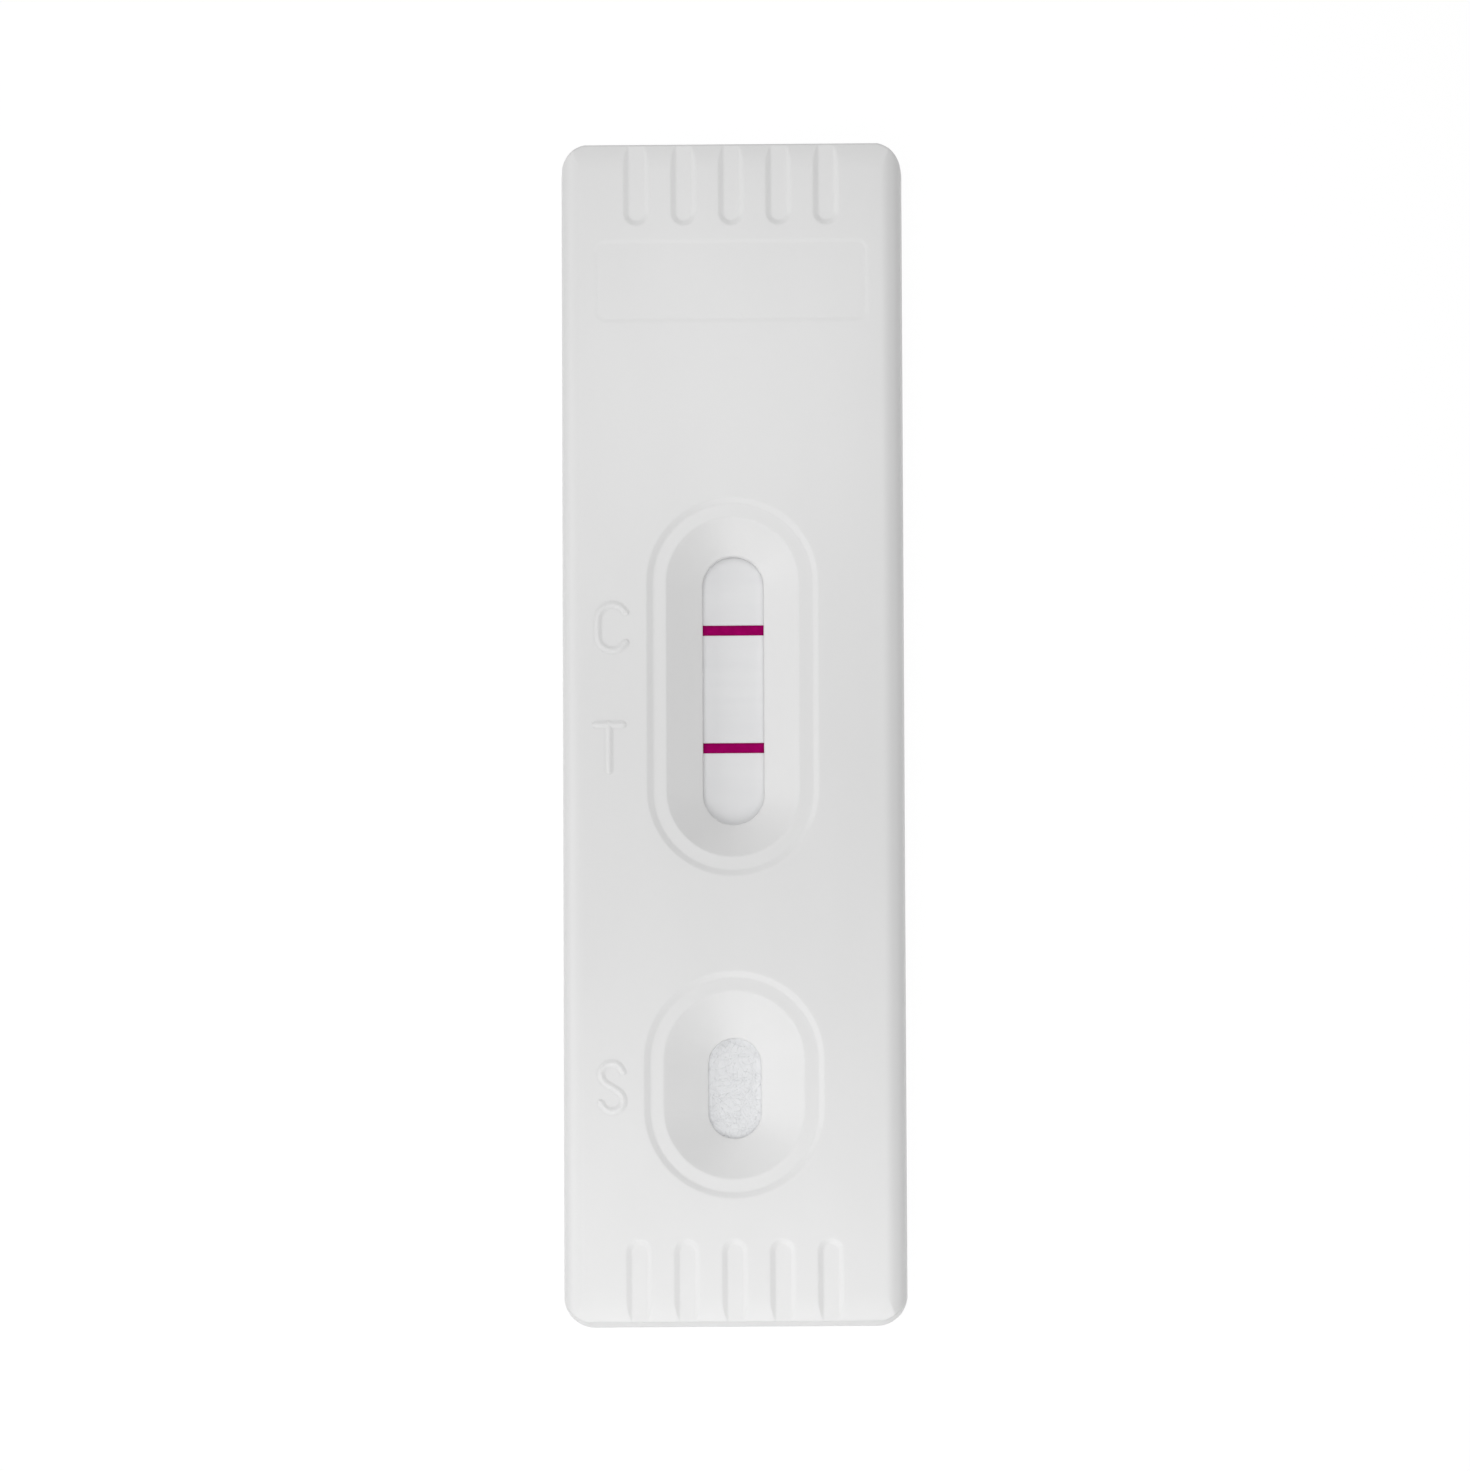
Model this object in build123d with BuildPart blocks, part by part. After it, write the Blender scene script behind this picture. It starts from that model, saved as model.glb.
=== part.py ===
from build123d import *
import os

# A lateral flow test cassette: two moulded half shells that snap together round a layered test strip.
# It lies on its base with +Z up. +Y runs along the strip, from the sample well to the absorbent end.
# The origin is the centre of the underside. Sizes are in millimetres.

# Test strip, which the housing is built round
STRIP_LENGTH = 60.0
STRIP_WIDTH = 4.0
CARD_THICKNESS = 0.25
MEMBRANE_OFFSET = 20.1  # from the sample end of the strip
MEMBRANE_LENGTH = 25.0
MEMBRANE_THICKNESS = 0.14
CONJUGATE_LENGTH = 8.0
CONJUGATE_THICKNESS = 0.35
CONJUGATE_LAP = 1.5
SAMPLE_THICKNESS = 0.4
SAMPLE_LAP = 2.0
WICK_THICKNESS = 0.85
WICK_LAP = 2.0
LAP_RAMP = 0.4  # run in which a pad climbs onto the piece that it laps
LINE_WIDTH = 0.6
LINE_DEPTH = 0.04
CONTROL_LINE_OFFSET = 3.65  # from the middle of the window, towards the wick
TEST_LINE_OFFSET = 3.35  # from the middle of the window, towards the well

# Outside of the housing
END_ROOM = 5.0  # from each end of the strip to that end of the housing
WIDTH = 20.1
CORNER_RADIUS = 1.8
LOWER_HEIGHT = 1.9
UPPER_HEIGHT = 2.3
LOWER_DRAFT = 0.3  # how far the lower walls lean in from the parting line to the base
SIDE_DRAFT = 0.15  # how far the long upper walls lean in from the parting line to the roof
END_DRAFT = 0.05  # how far the short upper walls lean in
SIDE_ROUND = 1.05  # radius of the quarter round along the two long sides of the roof
END_RUN = 1.4  # length over which the roof curves down to each end
END_FALL = 0.15
BASE_ROUND = 0.5
SEAM_BREAK = 0.12  # bevel on both sides of the parting line

# Walls of the housing
SIDE_WALL = 1.1
FLOOR = 0.9
ROOF = 0.9

# Reading window and sample well: a slot at the bottom of a sloping funnel, with a ledge round the funnel
STEP_DEPTH = 0.2
STEP_RUN = 0.35
LEDGE = 0.8
RIM_WALL = 0.7
WINDOW_MARGIN = 4.5  # membrane hidden beyond each end of the window
WINDOW_WIDTH = 3.6
WINDOW_SLOPE = 2.1
WINDOW_LIP = 0.5  # height of the slot's upright wall
WELL_LENGTH = 5.95
WELL_WIDTH = 3.1
WELL_SLOPE = 2.58
WELL_LIP = 0.3
WELL_GAP = 0.92  # from the rim of the well to the conjugate pad

# Grip grooves at both ends, and the shallow label panel
GROOVE_COUNT = 5
GROOVE_PITCH = 2.8
GROOVE_WIDTH = 1.5
GROOVE_LENGTH = 4.9
GROOVE_DEPTH = 0.15
GROOVE_WALL_ANGLE = 63.0  # lean of the groove's walls from upright
LABEL_END_INSET = 5.75
LABEL_SIDE_INSET = 1.95
LABEL_HEIGHT = 4.95
LABEL_DEPTH = 0.03
LABEL_WALL_ANGLE = 82.0  # lean of the panel's walls from upright
LABEL_ROUND = 0.7

# Snap pins under the roof, and their sockets on the floor
PIN_SIDE_INSET = 3.1
PIN_END_INSET = 6.0
PIN_ROWS = 3
PIN_DIAMETER = 1.8
PIN_CLEARANCE = 0.05
PIN_TIP_GAP = 0.2
PIN_TIP_BEVEL = 0.25
SOCKET_WALL = 0.75
SOCKET_GAP = 0.1  # how far the sockets stay below the parting line
WEB = 0.8  # thickness of the web from each socket to the side wall

# Strip channel on the floor, and the bars that press on the strip
STRIP_CLEARANCE = 0.1
BED_HEIGHT = 0.6
BED_RIB = 0.8
BED_PITCH = 8.0
RAIL_THICKNESS = 0.8
RAIL_HEIGHT = 0.4  # above the bed that the strip lies on
RIM_GAP = 0.05  # between the rails and the rims of the window and the well
PRESS_BAR = 0.8
WICK_BAR_INSET = 3.0

# Levels
housing_height = LOWER_HEIGHT + UPPER_HEIGHT
ceiling = housing_height - ROOF
bed = FLOOR + BED_HEIGHT
rail_top = bed + RAIL_HEIGHT
card_top = bed + CARD_THICKNESS
membrane_top = card_top + MEMBRANE_THICKNESS
conjugate_top = card_top + CONJUGATE_THICKNESS
sample_top = card_top + SAMPLE_THICKNESS
wick_top = card_top + WICK_THICKNESS
window_rim = max(rail_top, membrane_top) + RIM_GAP
well_rim = max(rail_top + RIM_GAP, sample_top)

# Places along the strip
strip_start = -STRIP_LENGTH / 2
strip_end = STRIP_LENGTH / 2
membrane_start = strip_start + MEMBRANE_OFFSET
membrane_end = membrane_start + MEMBRANE_LENGTH
conjugate_end = membrane_start + CONJUGATE_LAP
conjugate_start = conjugate_end - CONJUGATE_LENGTH
sample_end = conjugate_start + SAMPLE_LAP
wick_start = membrane_end - WICK_LAP
window_y = (membrane_start + membrane_end) / 2
window_length = MEMBRANE_LENGTH - 2 * WINDOW_MARGIN
well_y = conjugate_start - WELL_GAP - RIM_WALL - WELL_LENGTH / 2

# Outlines and places in the housing
housing_length = STRIP_LENGTH + 2 * END_ROOM
cavity_length = housing_length - 2 * SIDE_WALL
cavity_width = WIDTH - 2 * SIDE_WALL
cavity_radius = max(CORNER_RADIUS - SIDE_WALL, SEAM_BREAK)
pin_x = WIDTH / 2 - PIN_SIDE_INSET
pin_pitch = (housing_length - 2 * PIN_END_INSET) / (PIN_ROWS - 1)


def slot_body(y, low, high, mode=Mode.ADD):
    """Add or cut a body between two slot outlines along Y, each given as (level, length, width)."""
    outlines = []
    for level, length, width in (low, high):
        with BuildSketch(Plane.XY.offset(level)) as outline:
            with Locations((0, y)):
                SlotOverall(length, width, rotation=90)
        outlines.append(outline.sketch)
    loft(outlines, ruled=True, mode=mode)


def shape_walls(plane, half, draft, run, fall, reach):
    """Lean two opposite walls of the upper half in by draft, and drop the roof by fall in an arc to each."""
    edge = half - draft * (UPPER_HEIGHT - fall) / UPPER_HEIGHT
    for side in (-1, 1):
        with BuildSketch(plane) as waste:
            with BuildLine():
                TangentArc(
                    (side * (edge - run), housing_height),
                    (side * edge, housing_height - fall),
                    tangent=(side, 0),
                )
                Polyline(
                    (side * edge, housing_height - fall),
                    (side * half, LOWER_HEIGHT),
                    (side * (half + run), LOWER_HEIGHT),
                    (side * (half + run), housing_height + fall),
                    (side * (edge - run), housing_height + fall),
                    (side * (edge - run), housing_height),
                )
            make_face()
        extrude(waste.sketch, amount=reach, both=True, mode=Mode.SUBTRACT)


def funnel(y, length, width, slope, lip, rim):
    """Add the boss of an opening in the roof, and cut the opening down to the rim of the boss.

    From the top down the opening is a fine step, a ledge, a slope and an upright slot.
    """
    ledge_level = housing_height - STEP_DEPTH
    throat = rim + lip
    under_ledge = ledge_level - ROOF
    under_throat = max(throat - ROOF, rim)

    def around(margin):
        return length + 2 * margin, width + 2 * margin

    slot = around(0)
    slope_edge = around(slope)
    ledge_edge = around(slope + LEDGE)
    mouth = around(slope + LEDGE + STEP_RUN)
    rim_outline = around(RIM_WALL)
    slot_body(y, (under_ledge, *mouth), (ledge_level, *mouth))
    slot_body(y, (under_throat, *slot), (under_ledge, *slope_edge))
    slot_body(y, (rim, *rim_outline), (throat, *rim_outline))
    slot_body(y, (ledge_level, *ledge_edge), (housing_height, *mouth), Mode.SUBTRACT)
    slot_body(y, (throat, *slot), (ledge_level, *slope_edge), Mode.SUBTRACT)
    slot_body(y, (rim - ROOF, *slot), (throat, *slot), Mode.SUBTRACT)


def lapped_pad(flat_end, lap_edge, lap_end, rise, thickness):
    """A strip-wide pad that lies on the card from flat_end and climbs at lap_edge onto its neighbour."""
    towards_lap = 1 if lap_end > flat_end else -1
    ramp_foot = lap_edge - towards_lap * LAP_RAMP
    with BuildPart() as pad:
        with BuildSketch(Plane.YZ):
            with BuildLine():
                Polyline(
                    (flat_end, card_top),
                    (ramp_foot, card_top),
                    (lap_edge, card_top + rise),
                    (lap_end, card_top + rise),
                    (lap_end, card_top + rise + thickness),
                    (lap_edge, card_top + rise + thickness),
                    (ramp_foot, card_top + thickness),
                    (flat_end, card_top + thickness),
                    close=True,
                )
            make_face()
        extrude(amount=STRIP_WIDTH / 2, both=True)
    return pad


def reagent_line(y):
    """A stripe of dye across the strip, sunk into the top of the membrane."""
    with BuildPart() as stripe:
        with Locations((0, y, membrane_top)):
            Box(STRIP_WIDTH, LINE_WIDTH, LINE_DEPTH, align=(Align.CENTER, Align.CENTER, Align.MAX))
    return stripe


# Lower housing: a tray with the strip channel down its middle and the sockets along both sides
with BuildPart() as lower_housing:
    with BuildSketch():
        RectangleRounded(
            WIDTH - 2 * LOWER_DRAFT, housing_length - 2 * LOWER_DRAFT, CORNER_RADIUS - LOWER_DRAFT
        )
    with BuildSketch(Plane.XY.offset(LOWER_HEIGHT)):
        RectangleRounded(WIDTH, housing_length, CORNER_RADIUS)
    loft(ruled=True)
    fillet(lower_housing.faces().sort_by(Axis.Z)[0].edges(), BASE_ROUND)
    chamfer(lower_housing.faces().sort_by(Axis.Z)[-1].edges(), SEAM_BREAK)
    with BuildSketch(Plane.XY.offset(FLOOR)):
        RectangleRounded(cavity_width, cavity_length, cavity_radius)
    extrude(amount=LOWER_HEIGHT - FLOOR, mode=Mode.SUBTRACT)

    # Rails and end stops stand round the strip, and ribs between them carry it
    channel_width = STRIP_WIDTH + 2 * STRIP_CLEARANCE
    channel_length = STRIP_LENGTH + 2 * STRIP_CLEARANCE
    with BuildSketch(Plane.XY.offset(FLOOR)):
        Rectangle(channel_width + 2 * RAIL_THICKNESS, channel_length + 2 * RAIL_THICKNESS)
        Rectangle(channel_width, channel_length, mode=Mode.SUBTRACT)
    extrude(amount=rail_top - FLOOR)
    rib_count = int((STRIP_LENGTH - BED_RIB) // BED_PITCH) + 1
    with BuildSketch(Plane.XY.offset(FLOOR)):
        with GridLocations(0, BED_PITCH, 1, rib_count):
            Rectangle(channel_width, BED_RIB)
    extrude(amount=BED_HEIGHT)

    # Sockets for the snap pins, each tied to the side wall by a web
    bore_radius = PIN_DIAMETER / 2 + PIN_CLEARANCE
    web_length = cavity_width / 2 - pin_x
    with BuildSketch(Plane.XY.offset(FLOOR)):
        with GridLocations(2 * pin_x, pin_pitch, 2, PIN_ROWS):
            Circle(bore_radius + SOCKET_WALL)
        with GridLocations(cavity_width - web_length, pin_pitch, 2, PIN_ROWS):
            Rectangle(web_length, WEB)
    extrude(amount=LOWER_HEIGHT - SOCKET_GAP - FLOOR)
    with BuildSketch(Plane.XY.offset(FLOOR)):
        with GridLocations(2 * pin_x, pin_pitch, 2, PIN_ROWS):
            Circle(bore_radius)
    extrude(amount=LOWER_HEIGHT - FLOOR, mode=Mode.SUBTRACT)


# Upper housing: a lid with rounded edges, the two funnels, the grip grooves and the label panel
with BuildPart() as upper_housing:
    with BuildSketch(Plane.XY.offset(LOWER_HEIGHT)):
        RectangleRounded(WIDTH, housing_length, CORNER_RADIUS)
    extrude(amount=UPPER_HEIGHT)
    chamfer(upper_housing.faces().sort_by(Axis.Z)[0].edges(), SEAM_BREAK)
    shape_walls(Plane.XZ, WIDTH / 2, SIDE_DRAFT, SIDE_ROUND, SIDE_ROUND, housing_length)
    shape_walls(Plane.YZ, housing_length / 2, END_DRAFT, END_RUN, END_FALL, WIDTH)
    with BuildSketch(Plane.XY.offset(LOWER_HEIGHT)):
        RectangleRounded(cavity_width, cavity_length, cavity_radius)
    extrude(amount=ceiling - LOWER_HEIGHT, mode=Mode.SUBTRACT)

    # Bars under the roof hold each lap of the strip and the end of the wick down
    press_bars = (
        ((conjugate_start + sample_end) / 2, conjugate_top + SAMPLE_THICKNESS),
        ((membrane_start + conjugate_end) / 2, membrane_top + CONJUGATE_THICKNESS),
        ((wick_start + membrane_end) / 2, membrane_top + WICK_THICKNESS),
        (strip_end - WICK_BAR_INSET, wick_top),
    )
    for bar_y, bar_foot in press_bars:
        with BuildSketch(Plane.XY.offset(bar_foot)):
            with Locations((0, bar_y)):
                Rectangle(STRIP_WIDTH, PRESS_BAR)
        extrude(amount=ceiling - bar_foot)

    funnel(window_y, window_length, WINDOW_WIDTH, WINDOW_SLOPE, WINDOW_LIP, window_rim)
    funnel(well_y, WELL_LENGTH, WELL_WIDTH, WELL_SLOPE, WELL_LIP, well_rim)

    # Snap pins, with bevelled tips
    pin_tip = FLOOR + PIN_TIP_GAP
    with BuildSketch(Plane.XY.offset(pin_tip)):
        with GridLocations(2 * pin_x, pin_pitch, 2, PIN_ROWS):
            Circle(PIN_DIAMETER / 2)
    extrude(amount=ceiling - pin_tip)
    chamfer(upper_housing.edges().filter_by(GeomType.CIRCLE).group_by(Axis.Z)[0], PIN_TIP_BEVEL)

    # Grip grooves, each with a round inner end, run out through both ends
    with BuildSketch(Plane.XY.offset(housing_height)):
        with GridLocations(GROOVE_PITCH, housing_length, GROOVE_COUNT, 2):
            SlotOverall(2 * GROOVE_LENGTH, GROOVE_WIDTH, rotation=90)
    extrude(amount=-GROOVE_DEPTH, taper=GROOVE_WALL_ANGLE, mode=Mode.SUBTRACT)

    with BuildSketch(Plane.XY.offset(housing_height)):
        with Locations((0, housing_length / 2 - LABEL_END_INSET - LABEL_HEIGHT / 2)):
            RectangleRounded(WIDTH - 2 * LABEL_SIDE_INSET, LABEL_HEIGHT, LABEL_ROUND)
    extrude(amount=-LABEL_DEPTH, taper=LABEL_WALL_ANGLE, mode=Mode.SUBTRACT)


# Test strip: a card that carries the membrane and three pads, each lapped onto its neighbour
with BuildPart() as backing_card:
    with Locations((0, 0, bed)):
        Box(STRIP_WIDTH, STRIP_LENGTH, CARD_THICKNESS, align=(Align.CENTER, Align.CENTER, Align.MIN))

control_line = reagent_line(window_y + CONTROL_LINE_OFFSET)
test_line = reagent_line(window_y - TEST_LINE_OFFSET)

with BuildPart() as membrane:
    with Locations((0, membrane_start, card_top)):
        Box(STRIP_WIDTH, MEMBRANE_LENGTH, MEMBRANE_THICKNESS, align=(Align.CENTER, Align.MIN, Align.MIN))
    add(control_line.part, mode=Mode.SUBTRACT)
    add(test_line.part, mode=Mode.SUBTRACT)

conjugate_pad = lapped_pad(
    conjugate_start, membrane_start, conjugate_end, MEMBRANE_THICKNESS, CONJUGATE_THICKNESS
)
sample_pad = lapped_pad(strip_start, conjugate_start, sample_end, CONJUGATE_THICKNESS, SAMPLE_THICKNESS)
absorbent_pad = lapped_pad(strip_end, membrane_end, wick_start, MEMBRANE_THICKNESS, WICK_THICKNESS)


pieces = {
    "lower_housing": lower_housing,
    "upper_housing": upper_housing,
    "backing_card": backing_card,
    "membrane": membrane,
    "control_line": control_line,
    "test_line": test_line,
    "conjugate_pad": conjugate_pad,
    "sample_pad": sample_pad,
    "absorbent_pad": absorbent_pad,
}
os.makedirs("parts", exist_ok=True)
for name, piece in pieces.items():
    piece.part.label = name
    export_step(piece.part, f"parts/{name}.step")
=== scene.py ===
import math
import random

import bmesh
import bpy
from mathutils import Matrix, Vector, noise
from mathutils.bvhtree import BVHTree


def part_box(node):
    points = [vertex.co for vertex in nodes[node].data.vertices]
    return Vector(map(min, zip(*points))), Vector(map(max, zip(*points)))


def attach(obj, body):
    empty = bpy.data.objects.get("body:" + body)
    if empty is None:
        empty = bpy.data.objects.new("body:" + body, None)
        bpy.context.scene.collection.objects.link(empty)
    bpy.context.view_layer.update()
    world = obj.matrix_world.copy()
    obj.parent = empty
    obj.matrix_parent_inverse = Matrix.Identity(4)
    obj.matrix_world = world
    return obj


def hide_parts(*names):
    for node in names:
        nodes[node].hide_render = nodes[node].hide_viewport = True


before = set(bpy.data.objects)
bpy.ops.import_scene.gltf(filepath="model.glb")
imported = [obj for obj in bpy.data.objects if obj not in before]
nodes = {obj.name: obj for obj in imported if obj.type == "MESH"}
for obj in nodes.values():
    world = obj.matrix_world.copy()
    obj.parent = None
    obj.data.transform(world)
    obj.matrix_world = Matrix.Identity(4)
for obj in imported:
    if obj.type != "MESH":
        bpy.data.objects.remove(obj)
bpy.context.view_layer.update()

# The looks of a lateral flow test cassette, seen nearly straight from above on a white table.
# Places and sizes are in metres. MM turns a size in millimetres into metres.
MM = 0.001
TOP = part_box("upper_housing")[1].z

# Photograph: a square picture, taken from far above and a little from the well end and the right
PICTURE_HEIGHT_PX = 1471
PIXELS_PER_MM = 17.0
CAMERA_DISTANCE = 1020 * MM
CAMERA_AIM = Vector((0.08 * MM, -0.03 * MM, 2.1 * MM))
CAMERA_LEAN = (0.02, -0.15)  # how far it stands along X and Y for each unit of its height
CAMERA_ROLL = math.radians(-0.235)
SENSOR = 36  # in millimetres, as the camera takes it

# Edges of the moulded housing, softened in shading alone
EDGE_ROUND = 0.2 * MM
EDGE_SAMPLES = 8

# Raised letters beside the window and the well
STROKE = 0.5 * MM
STROKE_RAISE = 0.09 * MM
STROKE_SINK = 0.05 * MM
STROKE_STEPS = 12  # along each stretch of a stroke
STROKE_PROFILE_POINTS = 12
STROKE_END_RINGS = 5
FOOT_ANGLE = math.radians(50)  # shading breaks at the foot of a letter

# Control points of the strokes, in halves of a letter's width and height
C_STROKE = (
    (1, 0.7),
    (0.6, 1),
    (-0.25, 1.05),
    (-1, 0.7),
    (-1.05, 0),
    (-1, -0.7),
    (-0.25, -1.05),
    (0.6, -1),
    (1, -0.7),
)
T_BAR = ((-1, 1), (0, 1), (1, 1))
T_STEM = ((0, 1), (0, 0), (0, -1))
S_STROKE = (
    (0.85, 0.7),
    (0.5, 1.05),
    (-0.4, 1.05),
    (-1, 0.7),
    (-0.75, 0.25),
    (0, 0),
    (0.75, -0.25),
    (1, -0.7),
    (0.4, -1.05),
    (-0.5, -1.05),
    (-0.9, -0.7),
)
LETTERS = {
    "letter_c": {"place": (-7.1 * MM, 6.12 * MM), "size": (1.6 * MM, 2.65 * MM), "strokes": (C_STROKE,)},
    "letter_t": {"place": (-7.27 * MM, -1.0 * MM), "size": (1.55 * MM, 2.7 * MM), "strokes": (T_BAR, T_STEM)},
    "letter_s": {"place": (-7.15 * MM, -21.12 * MM), "size": (1.45 * MM, 2.7 * MM), "strokes": (S_STROKE,)},
}

# Fibre pads
PAD_CELL = 0.16 * MM
PAD_ROUGHNESS = 0.015 * MM
PAD_GRAIN = 0.4 * MM
FIBRE_RADIUS = 0.01 * MM
FIBRE_LENGTH = (0.5 * MM, 1.5 * MM)
FIBRE_STEPS = 5
FIBRE_SIDES = 4
FIBRE_BEND = 0.5
FIBRE_SINK = 0.6  # most that a fibre lies above or below the surface, in radii
FIBRES_PER_MM2 = 16

# Relief of the strip's layers
WELD_DISTANCE = 0.001 * MM
CUT_TOLERANCE = WELD_DISTANCE / 10
FLAT_ANGLE = math.radians(0.4)
RELIEF_FALL = 0.8
RELIEF_STEP = 2.0
RELIEF_OCTAVES = 3
MEMBRANE_CELL = 0.2 * MM
MEMBRANE_ROUGHNESS = 0.008 * MM
MEMBRANE_GRAIN = 0.6 * MM

# Light, as the share of a white surface's full brightness that each source gives where it is aimed
SKY = 0.437
LAMPS = {
    "key": {
        "place": Vector((-2 * MM, -48 * MM, 50 * MM)),
        "target": Vector((0, -28 * MM, TOP)),
        "size": (45 * MM, 45 * MM),
        "share": 0.51,
    },
    "side_lamp": {
        "place": Vector((-110 * MM, 0, 57 * MM)),
        "target": Vector((0, 0, TOP)),
        "size": (110 * MM, 40 * MM),
        "share": 0.225,
    },
    "top_lamp": {
        "place": Vector((0, 26 * MM, 42 * MM)),
        "target": Vector((0, 27 * MM, TOP)),
        "size": (30 * MM, 30 * MM),
        "share": 0.29,
    },
    "front_lamp": {
        "place": Vector((0, -130 * MM, 45 * MM)),
        "target": Vector((0, 0, TOP)),
        "size": (60 * MM, 40 * MM),
        "share": 0.07,
    },
    "back_lamp": {
        "place": Vector((0, 120 * MM, 70 * MM)),
        "target": Vector((0, 0, TOP)),
        "size": (60 * MM, 40 * MM),
        "share": 0.035,
    },
}

# Table top
FLOOR_SIZE = 2.0
FLOOR_DROP = 0.02 * MM
FLOOR_GREY = 0.9  # colour by which it throws light back at the cassette
FLOOR_GLOW = 0.95  # white that it shows even in shadow
FLOOR_SHADOW = 0.08  # colour that the lamps add to what it shows


# Node helpers

def add_node(tree, kind, **inputs):
    """Add a shader node and set its inputs, each given by its name with underscores for spaces."""
    new = tree.nodes.new(kind)
    for name, value in inputs.items():
        new.inputs[name.replace("_", " ")].default_value = value
    return new


def new_material(name):
    """Start a node material. Returns it with its tree, its shader and the object's own coordinates."""
    material = bpy.data.materials.new(name)
    material.use_nodes = True
    tree = material.node_tree
    shader = tree.nodes["Principled BSDF"]
    place = tree.nodes.new("ShaderNodeTexCoord").outputs["Object"]
    return material, tree, shader, place


def noise_of_size(tree, place, size, detail=2.0, stretch=(1, 1, 1)):
    """A noise whose features are about size across, drawn out along the axes by stretch."""
    mapping = tree.nodes.new("ShaderNodeMapping")
    mapping.inputs["Scale"].default_value = [1 / (size * s) for s in stretch]
    tree.links.new(place, mapping.inputs["Vector"])
    texture = add_node(tree, "ShaderNodeTexNoise", Scale=1.0, Detail=detail)
    tree.links.new(mapping.outputs["Vector"], texture.inputs["Vector"])
    return texture.outputs["Fac"]


def vary_colour(tree, shader, factor, dark, light, low=0.35, high=0.65):
    """Let the base colour run between two colours as factor goes from low to high."""
    ramp = tree.nodes.new("ShaderNodeValToRGB")
    ramp.color_ramp.elements[0].position = low
    ramp.color_ramp.elements[0].color = (*dark, 1)
    ramp.color_ramp.elements[1].position = high
    ramp.color_ramp.elements[1].color = (*light, 1)
    tree.links.new(factor, ramp.inputs["Fac"])
    tree.links.new(ramp.outputs["Color"], shader.inputs["Base Color"])


def vary_roughness(tree, shader, factor, smooth, rough, low=0.3, high=0.7):
    """Let the roughness run between two values as factor goes from low to high."""
    span = add_node(tree, "ShaderNodeMapRange", From_Min=low, From_Max=high, To_Min=smooth, To_Max=rough)
    tree.links.new(factor, span.inputs["Value"])
    tree.links.new(span.outputs["Result"], shader.inputs["Roughness"])


def add_bumps(tree, shader, bumps, normal=None):
    """Chain bumps, each given as (height factor, depth in metres), onto a normal and into the shader."""
    for factor, depth in bumps:
        bump = add_node(tree, "ShaderNodeBump", Strength=1.0, Distance=depth)
        tree.links.new(factor, bump.inputs["Height"])
        if normal:
            tree.links.new(normal, bump.inputs["Normal"])
        normal = bump.outputs["Normal"]
    tree.links.new(normal, shader.inputs["Normal"])


# Materials

def moulded_plastic(name, edge_round=None):
    """White moulded polystyrene: satin, finely grained, with a faint flow pattern and soft edges if asked."""
    material, tree, shader, place = new_material(name)
    flow = noise_of_size(tree, place, 6 * MM, detail=3.0, stretch=(1, 2.5, 1))
    grain = noise_of_size(tree, place, 0.12 * MM, detail=2.0)
    peel = noise_of_size(tree, place, 0.9 * MM, detail=1.0)
    vary_colour(tree, shader, flow, (0.792, 0.792, 0.791), (0.808, 0.808, 0.807))
    vary_roughness(tree, shader, grain, 0.4, 0.5)
    normal = None
    if edge_round:
        edges = add_node(tree, "ShaderNodeBevel", Radius=edge_round)
        edges.samples = EDGE_SAMPLES
        normal = edges.outputs["Normal"]
    add_bumps(tree, shader, ((peel, 0.006 * MM), (grain, 0.0035 * MM)), normal)
    shader.inputs["IOR"].default_value = 1.5
    shader.inputs["Subsurface Weight"].default_value = 0.15
    shader.inputs["Subsurface Radius"].default_value = (1.0, 1.0, 1.0)
    shader.inputs["Subsurface Scale"].default_value = 0.3 * MM
    return material


def porous_membrane():
    """Nitrocellulose: matt, a little cold, with faint casting bands across the strip."""
    material, tree, shader, place = new_material("porous_membrane")
    bands = noise_of_size(tree, place, 1.1 * MM, detail=2.0, stretch=(8, 1, 1))
    pores = noise_of_size(tree, place, 0.05 * MM, detail=3.0)
    vary_colour(tree, shader, bands, (0.828, 0.831, 0.84), (0.848, 0.851, 0.857))
    vary_roughness(tree, shader, pores, 0.75, 0.9)
    add_bumps(tree, shader, ((bands, 0.004 * MM), (pores, 0.004 * MM)))
    shader.inputs["Specular IOR Level"].default_value = 0.2
    return material


def dye_line():
    """Magenta dye that has soaked into the membrane, a little uneven along the line."""
    material, tree, shader, place = new_material("magenta_dye")
    soak = noise_of_size(tree, place, 0.35 * MM, detail=3.0)
    pores = noise_of_size(tree, place, 0.05 * MM, detail=3.0)
    vary_colour(tree, shader, soak, (0.31, 0.0005, 0.1), (0.37, 0.001, 0.122))
    vary_roughness(tree, shader, pores, 0.8, 0.95)
    add_bumps(tree, shader, ((pores, 0.004 * MM),))
    shader.inputs["Specular IOR Level"].default_value = 0.02
    return material


def pressed_fibre(name, dark, light):
    """A mat of pressed fibres: matt, mottled, with a soft sheen from the fibre ends."""
    material, tree, shader, place = new_material(name)
    mottle = noise_of_size(tree, place, 0.45 * MM, detail=4.0)
    threads = noise_of_size(tree, place, 0.06 * MM, detail=3.0, stretch=(1, 5, 1))
    vary_colour(tree, shader, mottle, dark, light)
    vary_roughness(tree, shader, threads, 0.8, 0.95)
    add_bumps(tree, shader, ((threads, 0.01 * MM),))
    shader.inputs["Specular IOR Level"].default_value = 0.15
    shader.inputs["Sheen Weight"].default_value = 0.1
    return material


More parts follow.
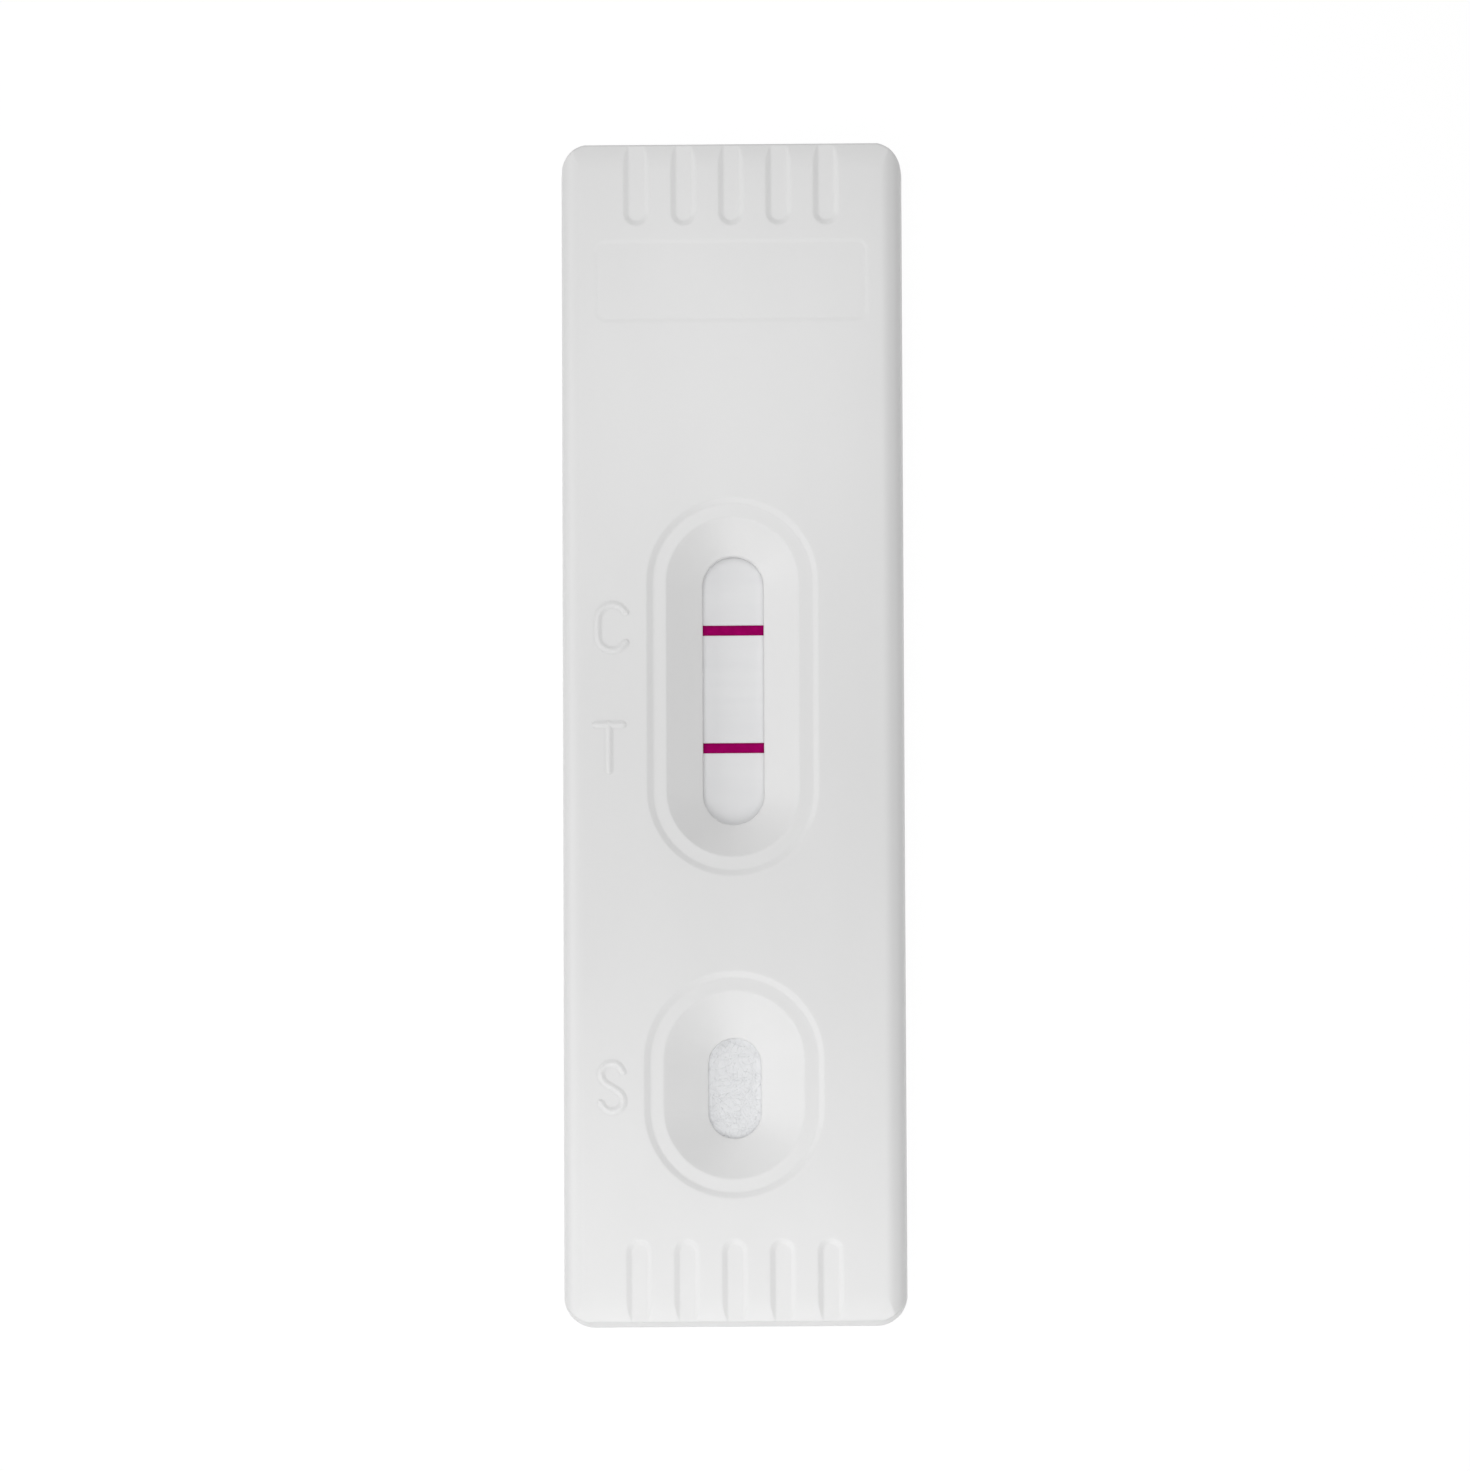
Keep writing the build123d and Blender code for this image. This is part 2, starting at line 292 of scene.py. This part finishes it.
def vinyl_card():
    """Smooth white vinyl with a faint calender grain along the card."""
    material, tree, shader, place = new_material("white_vinyl")
    grain = noise_of_size(tree, place, 0.3 * MM, detail=2.0, stretch=(1, 12, 1))
    vary_colour(tree, shader, grain, (0.76, 0.76, 0.75), (0.79, 0.79, 0.78))
    vary_roughness(tree, shader, grain, 0.3, 0.4)
    add_bumps(tree, shader, ((grain, 0.003 * MM),))
    return material


def set_material(piece, material):
    piece.data.materials.clear()
    piece.data.materials.append(material)


# Pieces made here

def new_piece(name, mesh, material):
    """Put a mesh into the scene as a piece of the cassette."""
    piece = bpy.data.objects.new(name, mesh)
    bpy.context.scene.collection.objects.link(piece)
    set_material(piece, material)
    mesh.shade_smooth()
    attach(piece, "root")
    return piece


def mesh_from(bm, name):
    bmesh.ops.recalc_face_normals(bm, faces=bm.faces)
    mesh = bpy.data.meshes.new(name)
    bm.to_mesh(mesh)
    bm.free()
    return mesh


# Raised letters

def curve_points(controls):
    """Points along a smooth curve with these control points, in the plane of the letter."""
    data = bpy.data.curves.new("stroke_path", "CURVE")
    data.dimensions = "3D"
    data.resolution_u = STROKE_STEPS
    spline = data.splines.new("NURBS")
    spline.points.add(len(controls) - 1)
    for point, (x, y) in zip(spline.points, controls):
        point.co = (x, y, 0, 1)
    spline.order_u = 3
    spline.use_endpoint_u = True
    path = bpy.data.objects.new("stroke_path", data)
    mesh = bpy.data.meshes.new_from_object(path)
    points = [v.co.copy() for v in mesh.vertices]
    bpy.data.objects.remove(path)
    return points


def bead(controls):
    """A closed bead along a curve, rising softly from z = 0 and rounded at its ends, as a bmesh."""
    points = curve_points(controls)
    rings = []
    last = len(points) - 1
    for i, point in enumerate(points):
        tangent = (points[min(i + 1, last)] - points[max(i - 1, 0)]).normalized()
        rings.append((point, tangent, 1.0))
    head = rings[0]
    tail = rings[-1]
    for k in range(1, STROKE_END_RINGS):
        angle = math.pi / 2 * k / STROKE_END_RINGS
        reach = STROKE / 2 * math.sin(angle)
        rings.insert(0, (head[0] - head[1] * reach, head[1], math.cos(angle)))
        rings.append((tail[0] + tail[1] * reach, tail[1], math.cos(angle)))

    bm = bmesh.new()
    up = Vector((0, 0, 1))
    profile = [1 - 2 * k / (STROKE_PROFILE_POINTS - 1) for k in range(STROKE_PROFILE_POINTS)]
    loops = []
    for centre, tangent, size in rings:
        across = tangent.cross(up)
        foot = centre - up * STROKE_SINK
        loop = [bm.verts.new(foot - across * STROKE / 2 * size)]
        loop.append(bm.verts.new(foot + across * STROKE / 2 * size))
        for share in profile:
            side = across * STROKE / 2 * size * share
            rise = up * STROKE_RAISE * size * (1 + math.cos(math.pi * share)) / 2
            loop.append(bm.verts.new(centre + side + rise))
        loops.append(loop)
    count = len(loops[0])
    for a, b in zip(loops, loops[1:]):
        for k in range(count):
            bm.faces.new((a[k], a[(k + 1) % count], b[(k + 1) % count], b[k]))
    bm.faces.new(loops[0])
    bm.faces.new(loops[-1])
    return bm


def letter(name, place, size, strokes, material):
    """A raised letter on the roof at place, from strokes given as control points in halves of its size."""
    width, height = size
    parts = []
    for k, stroke in enumerate(strokes):
        controls = [(u * width / 2, v * height / 2) for u, v in stroke]
        parts.append(mesh_from(bead(controls), f"{name}_stroke_{k}"))
    first = bpy.data.objects.new("first_stroke", parts[0])
    bpy.context.scene.collection.objects.link(first)
    others = []
    for other_mesh in parts[1:]:
        other = bpy.data.objects.new("other_stroke", other_mesh)
        bpy.context.scene.collection.objects.link(other)
        union = first.modifiers.new("union", "BOOLEAN")
        union.operation = "UNION"
        union.solver = "EXACT"
        union.object = other
        others.append(other)
    bpy.context.view_layer.update()
    whole = bpy.data.meshes.new_from_object(first.evaluated_get(bpy.context.evaluated_depsgraph_get()))
    for scratch in (first, *others):
        bpy.data.objects.remove(scratch)
    whole.name = name
    whole.transform(Matrix.Translation((*place, TOP)))
    new_piece(name, whole, material)
    whole.set_sharp_from_angle(angle=FOOT_ANGLE)


# Test strip

def cut_fine(node, cell):
    """A closed copy of a node's mesh, cut into cells along X and Y, as a bmesh."""
    bm = bmesh.new()
    bm.from_mesh(node.data)
    bmesh.ops.remove_doubles(bm, verts=bm.verts, dist=WELD_DISTANCE)
    bmesh.ops.dissolve_limit(bm, angle_limit=FLAT_ANGLE, verts=bm.verts, edges=bm.edges)
    low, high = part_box(node.name)
    for axis in (0, 1):
        count = max(1, round((high[axis] - low[axis]) / cell))
        normal = Vector((0, 0, 0))
        normal[axis] = 1
        for k in range(1, count):
            point = Vector((0, 0, 0))
            point[axis] = low[axis] + (high[axis] - low[axis]) * k / count
            everything = bm.verts[:] + bm.edges[:] + bm.faces[:]
            bmesh.ops.bisect_plane(bm, geom=everything, plane_co=point, plane_no=normal, dist=CUT_TOLERANCE)
    return bm


def roughen(bm, depth, grain):
    """Push each point in along its normal by an uneven share of depth, so the shape stays in its box."""
    bm.normal_update()
    moves = []
    for v in bm.verts:
        rise = 0.5 + 0.5 * noise.fractal(v.co / grain, RELIEF_FALL, RELIEF_STEP, RELIEF_OCTAVES)
        moves.append((v, v.normal * depth * min(max(rise, 0), 1)))
    for v, move in moves:
        v.co -= move


def lay_fibres(bm, low, high, seed):
    """Lay fine fibres over the top of a pad. They sink into it and bend a little as they go."""
    draw = random.Random(seed)
    surface = BVHTree.FromBMesh(bm)
    area = (high.x - low.x) * (high.y - low.y) / MM**2
    above = high.z + MM
    down = Vector((0, 0, -1))
    for _ in range(round(area * FIBRES_PER_MM2)):
        place = Vector((draw.uniform(low.x, high.x), draw.uniform(low.y, high.y), above))
        heading = draw.uniform(0, 2 * math.pi)
        bend = draw.uniform(-FIBRE_BEND, FIBRE_BEND)
        step = draw.uniform(*FIBRE_LENGTH) / (FIBRE_STEPS - 1)
        depth = draw.uniform(-FIBRE_SINK, FIBRE_SINK) * FIBRE_RADIUS
        path = []
        for _ in range(FIBRE_STEPS):
            hit = surface.ray_cast(place, down)[0]
            if hit is None:
                break
            path.append(hit - Vector((0, 0, depth)))
            heading += bend
            place = place + Vector((math.cos(heading), math.sin(heading), 0)) * step
        if len(path) == FIBRE_STEPS:
            add_fibre(bm, path)


def add_fibre(bm, path):
    """Add a thin closed tube along a path that lies nearly flat."""
    up = Vector((0, 0, 1))
    loops = []
    for i, point in enumerate(path):
        along = path[min(i + 1, len(path) - 1)] - path[max(i - 1, 0)]
        across = along.cross(up).normalized()
        rise = across.cross(along).normalized()
        loop = []
        for k in range(FIBRE_SIDES):
            angle = 2 * math.pi * k / FIBRE_SIDES
            outward = across * math.cos(angle) + rise * math.sin(angle)
            loop.append(bm.verts.new(point + outward * FIBRE_RADIUS))
        loops.append(loop)
    for a, b in zip(loops, loops[1:]):
        for k in range(FIBRE_SIDES):
            following = (k + 1) % FIBRE_SIDES
            bm.faces.new((a[k], a[following], b[following], b[k]))
    bm.faces.new(loops[0])
    bm.faces.new(loops[-1])


def fibre_pad(node_name, material, seed):
    """A pad of pressed fibre in the place of a plain one."""
    low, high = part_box(node_name)
    bm = cut_fine(nodes[node_name], PAD_CELL)
    roughen(bm, PAD_ROUGHNESS, PAD_GRAIN)
    lay_fibres(bm, low, high, seed)
    pad = new_piece(f"{node_name}_fibres", mesh_from(bm, f"{node_name}_fibres"), material)
    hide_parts(node_name)


def strip_sheet(node_name, material):
    """A thin porous layer of the strip in the place of a plain one."""
    bm = cut_fine(nodes[node_name], MEMBRANE_CELL)
    roughen(bm, MEMBRANE_ROUGHNESS, MEMBRANE_GRAIN)
    sheet = new_piece(f"{node_name}_sheet", mesh_from(bm, f"{node_name}_sheet"), material)
    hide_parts(node_name)


# Studio

def seen_directly(tree):
    """1 for rays from the camera, a reflection or a clear body, and 0 for light that bounces about."""
    rays = tree.nodes.new("ShaderNodeLightPath").outputs
    either = tree.nodes.new("ShaderNodeMath")
    either.operation = "MAXIMUM"
    tree.links.new(rays["Is Camera Ray"], either.inputs[0])
    tree.links.new(rays["Is Glossy Ray"], either.inputs[1])
    any_of = tree.nodes.new("ShaderNodeMath")
    any_of.operation = "MAXIMUM"
    tree.links.new(either.outputs[0], any_of.inputs[0])
    tree.links.new(rays["Is Transmission Ray"], any_of.inputs[1])
    return any_of.outputs[0]


def white_sky():
    """A plain white surround that lights the cassette evenly and looks pure white itself."""
    world = bpy.data.worlds.new("white_sky")
    world.use_nodes = True
    tree = world.node_tree
    tree.nodes.clear()
    light = add_node(tree, "ShaderNodeBackground", Color=(1, 1, 1, 1), Strength=SKY)
    shown = add_node(tree, "ShaderNodeBackground", Color=(1, 1, 1, 1), Strength=1.0)
    mix = tree.nodes.new("ShaderNodeMixShader")
    end = tree.nodes.new("ShaderNodeOutputWorld")
    tree.links.new(seen_directly(tree), mix.inputs[0])
    tree.links.new(light.outputs[0], mix.inputs[1])
    tree.links.new(shown.outputs[0], mix.inputs[2])
    tree.links.new(mix.outputs[0], end.inputs["Surface"])
    bpy.context.scene.world = world


def white_floor():
    """A table top that is white where it is lit and keeps a faint shadow of the cassette."""
    mesh = bpy.data.meshes.new("floor")
    half = FLOOR_SIZE / 2
    corners = [(-half, -half, 0), (half, -half, 0), (half, half, 0), (-half, half, 0)]
    mesh.from_pydata(corners, [], [(0, 1, 2, 3)])
    floor = bpy.data.objects.new("floor", mesh)
    floor.location.z = -FLOOR_DROP
    bpy.context.scene.collection.objects.link(floor)
    material = bpy.data.materials.new("white_floor")
    material.use_nodes = True
    tree = material.node_tree
    tree.nodes.clear()
    plain = add_node(tree, "ShaderNodeBsdfDiffuse", Color=(FLOOR_GREY, FLOOR_GREY, FLOOR_GREY, 1))
    white = add_node(tree, "ShaderNodeEmission", Color=(1, 1, 1, 1), Strength=FLOOR_GLOW)
    lit = add_node(tree, "ShaderNodeBsdfDiffuse", Color=(FLOOR_SHADOW, FLOOR_SHADOW, FLOOR_SHADOW, 1))
    shown = tree.nodes.new("ShaderNodeAddShader")
    tree.links.new(white.outputs[0], shown.inputs[0])
    tree.links.new(lit.outputs[0], shown.inputs[1])
    mix = tree.nodes.new("ShaderNodeMixShader")
    tree.links.new(seen_directly(tree), mix.inputs[0])
    tree.links.new(plain.outputs[0], mix.inputs[1])
    tree.links.new(shown.outputs[0], mix.inputs[2])
    end = tree.nodes.new("ShaderNodeOutputMaterial")
    tree.links.new(mix.outputs[0], end.inputs["Surface"])
    set_material(floor, material)


def softbox(name, place, target, size, share):
    """A lamp of this size that gives a white surface facing it at target this share of full brightness."""
    data = bpy.data.lights.new(name, "AREA")
    data.shape = "RECTANGLE"
    data.size, data.size_y = size
    reach = target - place
    data.energy = share * math.pi**2 * reach.length_squared
    lamp = bpy.data.objects.new(name, data)
    lamp.location = place
    lamp.rotation_euler = reach.to_track_quat("-Z", "Y").to_euler()
    lamp.visible_camera = False
    bpy.context.scene.collection.objects.link(lamp)


def camera_above():
    """A long lens far above the cassette, with the cassette's length upright in the picture."""
    data = bpy.data.cameras.new("camera")
    data.sensor_width = SENSOR
    data.lens = SENSOR * CAMERA_DISTANCE / (PICTURE_HEIGHT_PX / PIXELS_PER_MM * MM)
    camera = bpy.data.objects.new("camera", data)
    back = Vector((*CAMERA_LEAN, 1)).normalized()
    right = Vector((0, 1, 0)).cross(back).normalized()
    facing = Matrix((right, back.cross(right), back)).transposed().to_4x4()
    place = Matrix.Translation(CAMERA_AIM + back * CAMERA_DISTANCE)
    camera.matrix_world = place @ facing @ Matrix.Rotation(CAMERA_ROLL, 4, "Z")
    bpy.context.scene.collection.objects.link(camera)
    bpy.context.scene.camera = camera


# Put it together

bpy.context.scene.view_settings.view_transform = "Standard"
camera_above()
white_sky()
white_floor()
for name, lamp in LAMPS.items():
    softbox(name, **lamp)

housing_plastic = moulded_plastic("moulded_white_plastic", EDGE_ROUND)
for name in ("upper_housing", "lower_housing"):
    set_material(nodes[name], housing_plastic)
set_material(nodes["backing_card"], vinyl_card())

letter_plastic = moulded_plastic("moulded_white_letters")
for name, shape in LETTERS.items():
    letter(name, **shape, material=letter_plastic)

strip_sheet("membrane", porous_membrane())
dye = dye_line()
strip_sheet("control_line", dye)
strip_sheet("test_line", dye)
white_fibre = pressed_fibre("white_fibre", (0.825, 0.832, 0.845), (0.85, 0.857, 0.868))
pink_fibre = pressed_fibre("pink_fibre", (0.66, 0.46, 0.5), (0.73, 0.57, 0.61))
fibre_pad("sample_pad", white_fibre, seed=1)
fibre_pad("conjugate_pad", pink_fibre, seed=2)
fibre_pad("absorbent_pad", white_fibre, seed=3)

bpy.context.view_layer.update()
